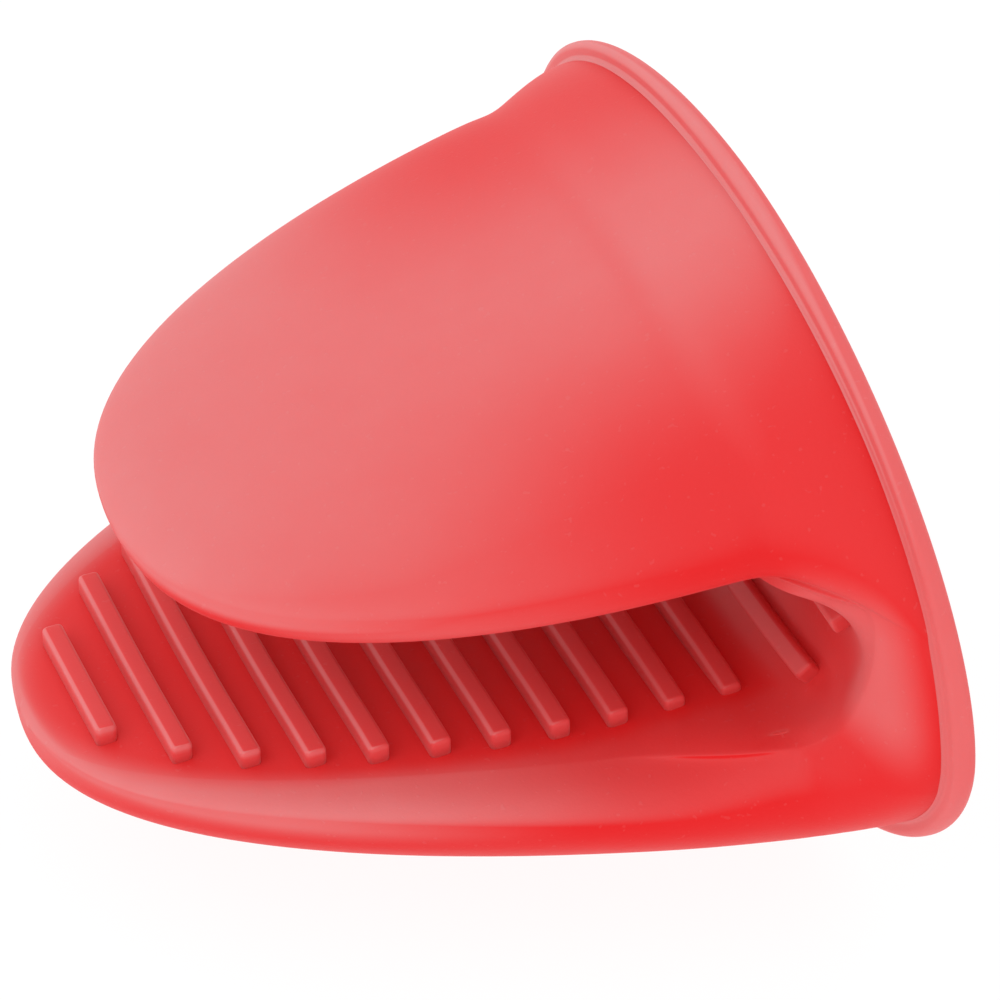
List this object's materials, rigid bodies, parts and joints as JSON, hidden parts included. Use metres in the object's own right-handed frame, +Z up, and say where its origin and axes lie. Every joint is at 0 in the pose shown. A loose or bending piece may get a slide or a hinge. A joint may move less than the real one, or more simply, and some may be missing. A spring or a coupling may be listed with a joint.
{
  "type": "oven mitt",
  "caption": "Short moulded silicone pinch mitt: finger pocket above, thumb pocket below, ribbed palms, and a flanged oval cuff that opens at the back.",
  "frame": {"origin": "under the middle of the mitt, at the level of its lowest point", "axes": "+X points out of the hand opening at the back, +Y along the rim's long axis, +Z up towards the finger side"},
  "size_m": [0.0783, 0.115, 0.0644],
  "materials": {
    "silicone": "matt moulded silicone"
  },
  "bodies": {
    "thumb_side": {"hinge_web": "silicone", "left_cheek": "silicone", "right_cheek": "silicone", "thumb_cuff": "silicone", "thumb_grip_face": "silicone", "thumb_pocket": "silicone", "thumb_rib_01": "silicone", "thumb_rib_02": "silicone", "thumb_rib_03": "silicone", "thumb_rib_04": "silicone", "thumb_rib_05": "silicone", "thumb_rib_06": "silicone", "thumb_rib_07": "silicone", "thumb_rib_08": "silicone", "thumb_rib_09": "silicone", "thumb_rib_10": "silicone", "thumb_rib_11": "silicone", "thumb_rim": "silicone", "web_rib_1": "silicone", "web_rib_2": "silicone"},
    "finger_side": {"finger_cuff": "silicone", "finger_grip_face": "silicone", "finger_pocket": "silicone", "finger_rib_01": "silicone", "finger_rib_02": "silicone", "finger_rib_03": "silicone", "finger_rib_04": "silicone", "finger_rib_05": "silicone", "finger_rib_06": "silicone", "finger_rib_07": "silicone", "finger_rib_08": "silicone", "finger_rib_09": "silicone", "finger_rim": "silicone"}
  },
  "joints": [
    {"name": "pinch", "type": "hinge", "parent": "thumb_side", "child": "finger_side", "pos_m": [0.0348, 0, 0.0329], "axis": [0, 1, 0], "range_deg": [-9.5, 22], "stiffness_Nm_per_rad": 1.5, "deforming": ["hinge_web", "left_cheek", "right_cheek"]}
  ]
}
